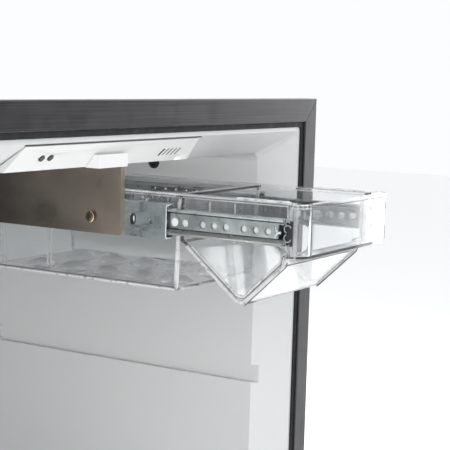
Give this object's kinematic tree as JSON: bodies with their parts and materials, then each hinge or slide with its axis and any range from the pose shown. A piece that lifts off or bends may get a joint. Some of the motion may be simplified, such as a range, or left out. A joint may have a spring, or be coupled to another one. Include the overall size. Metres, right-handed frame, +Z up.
{
  "type": "compressor cooler fridge",
  "caption": "Built-in compressor fridge for caravans: mitred dark frame, white liner, clear pull-out drawer on ball-bearing slides, wide-opening door, rear compressor bay.",
  "frame": {"origin": "middle of the front frame's lower edge on the base plane, in the plane of the liner's front rim", "axes": "+X to the right as seen from the front, +Y into the fridge, +Z up"},
  "size_m": [1.0591, 0.6649, 0.745],
  "materials": {
    "casing_paint": "satin",
    "foam": "matte",
    "liner_plastic": "satin",
    "frame_metal": "brushed, dark",
    "black_plastic": "matte",
    "circuit_board": "satin",
    "stainless": "brushed",
    "dark_screw": "satin",
    "zinc_steel": "zinc plated",
    "clear_plastic": "clear",
    "aluminium_sheet": "satin",
    "coated_wire": "gloss coating",
    "compressor_black": "gloss",
    "rubber_seal": "matte",
    "copper_tube": "satin",
    "door_paint": "satin",
    "bush_plastic": "matte"
  },
  "bodies": {
    "cabinet": {"cabinet_casing": "casing_paint", "insulation_foam": "foam", "inner_liner": "liner_plastic", "frame_rail_top": "frame_metal", "frame_rail_bottom": "frame_metal", "frame_stile_left": "frame_metal", "frame_stile_right": "frame_metal", "frame_inner_trim": "black_plastic", "panel_housing": "liner_plastic", "level_marks": "black_plastic", "control_board": "circuit_board", "latch_strike": "liner_plastic", "fixing_sleeves": "black_plastic", "hanger_bracket": "stainless", "hanger_screws": "dark_screw", "slide_outer_left": "zinc_steel", "slide_outer_right": "zinc_steel", "evaporator_plate": "aluminium_sheet", "evaporator_tube": "aluminium_sheet", "drip_channel": "liner_plastic", "shelf_upper": "coated_wire", "shelf_lower": "coated_wire", "crisper_lid": "clear_plastic", "compressor_shell": "compressor_black", "compressor_tray": "zinc_steel", "rubber_feet": "rubber_seal", "controller_box": "black_plastic", "condenser_coil": "compressor_black", "fan_shroud": "black_plastic", "filter_drier": "copper_tube", "refrigerant_lines": "copper_tube", "hinge_brackets": "zinc_steel"},
    "power_key": {"power_button": "black_plastic"},
    "mode_key": {"mode_button": "black_plastic"},
    "middle_left": {"slide_middle_left": "zinc_steel"},
    "middle_right": {"slide_middle_right": "zinc_steel"},
    "outer_cage_l": {"outer_cage_left": "zinc_steel"},
    "outer_cage_r": {"outer_cage_right": "zinc_steel"},
    "inner_cage_l": {"inner_cage_left": "zinc_steel"},
    "inner_cage_r": {"inner_cage_right": "zinc_steel"},
    "drawer": {"drawer_bin": "clear_plastic", "drawer_trough": "clear_plastic", "drawer_front": "clear_plastic", "drawer_rivets": "zinc_steel", "slide_inner_left": "zinc_steel", "slide_inner_right": "zinc_steel"},
    "crisper": {"crisper_box": "clear_plastic"},
    "fan": {"fan_rotor": "black_plastic"},
    "door": {"door_panel": "door_paint", "door_foam": "foam", "door_liner": "liner_plastic", "door_gasket": "rubber_seal", "door_bin_upper": "clear_plastic", "door_bin_lower": "clear_plastic", "handle_housing": "black_plastic", "latch_pin": "stainless", "hinge_lugs": "zinc_steel", "hinge_bushes": "bush_plastic"},
    "latch": {"latch_paddle": "black_plastic"}
  },
  "joints": [
    {"name": "drawer_first_stage", "type": "slide", "parent": "cabinet", "child": "middle_left", "axis": [0, -1, 0], "range_m": [-0.091, 0.024]},
    {"name": "middle_right_slide", "type": "slide", "parent": "cabinet", "child": "middle_right", "axis": [0, -1, 0], "range_m": [-0.091, 0.024]},
    {"name": "outer_cage_left_roll", "type": "slide", "parent": "cabinet", "child": "outer_cage_l", "axis": [0, -1, 0], "range_m": [-0.0455, 0.012]},
    {"name": "outer_cage_right_roll", "type": "slide", "parent": "cabinet", "child": "outer_cage_r", "axis": [0, -1, 0], "range_m": [-0.0455, 0.012]},
    {"name": "drawer_second_stage", "type": "slide", "parent": "middle_left", "child": "drawer", "axis": [0, -1, 0], "range_m": [0, 0.12]},
    {"name": "inner_cage_left_roll", "type": "slide", "parent": "middle_left", "child": "inner_cage_l", "axis": [0, -1, 0], "range_m": [0, 0.06]},
    {"name": "inner_cage_right_roll", "type": "slide", "parent": "middle_right", "child": "inner_cage_r", "axis": [0, -1, 0], "range_m": [0, 0.06]},
    {"name": "crisper_pull", "type": "slide", "parent": "cabinet", "child": "crisper", "axis": [0, -1, 0], "range_m": [0, 0.12]},
    {"name": "power_press", "type": "slide", "parent": "cabinet", "child": "power_key", "axis": [0, 0.7662, 0.6426], "range_m": [0, 0.0008]},
    {"name": "mode_press", "type": "slide", "parent": "cabinet", "child": "mode_key", "axis": [0, 0.7662, 0.6426], "range_m": [0, 0.0008]},
    {"name": "fan_spin", "type": "hinge", "parent": "cabinet", "child": "fan", "pos_m": [0.12, 0.41, 0.1], "axis": [0, 1, 0], "continuous": true},
    {"name": "door_swing", "type": "hinge", "parent": "cabinet", "child": "door", "pos_m": [-0.2705, -0.026, 0.3725], "axis": [0, 0, -1], "range_deg": [-146, 4]},
    {"name": "latch_pull", "type": "hinge", "parent": "door", "child": "latch", "pos_m": [-0.53426, -0.08615, 0.722], "axis": [0.9781, 0.2079, 0], "range_deg": [0, 15]}
  ],
  "couplings": [
    {"joint": "middle_right_slide", "follows": "drawer_first_stage", "ratio": 1},
    {"joint": "outer_cage_left_roll", "follows": "drawer_first_stage", "ratio": 0.5},
    {"joint": "outer_cage_right_roll", "follows": "drawer_first_stage", "ratio": 0.5},
    {"joint": "inner_cage_left_roll", "follows": "drawer_second_stage", "ratio": 0.5},
    {"joint": "inner_cage_right_roll", "follows": "drawer_second_stage", "ratio": 0.5}
  ]
}
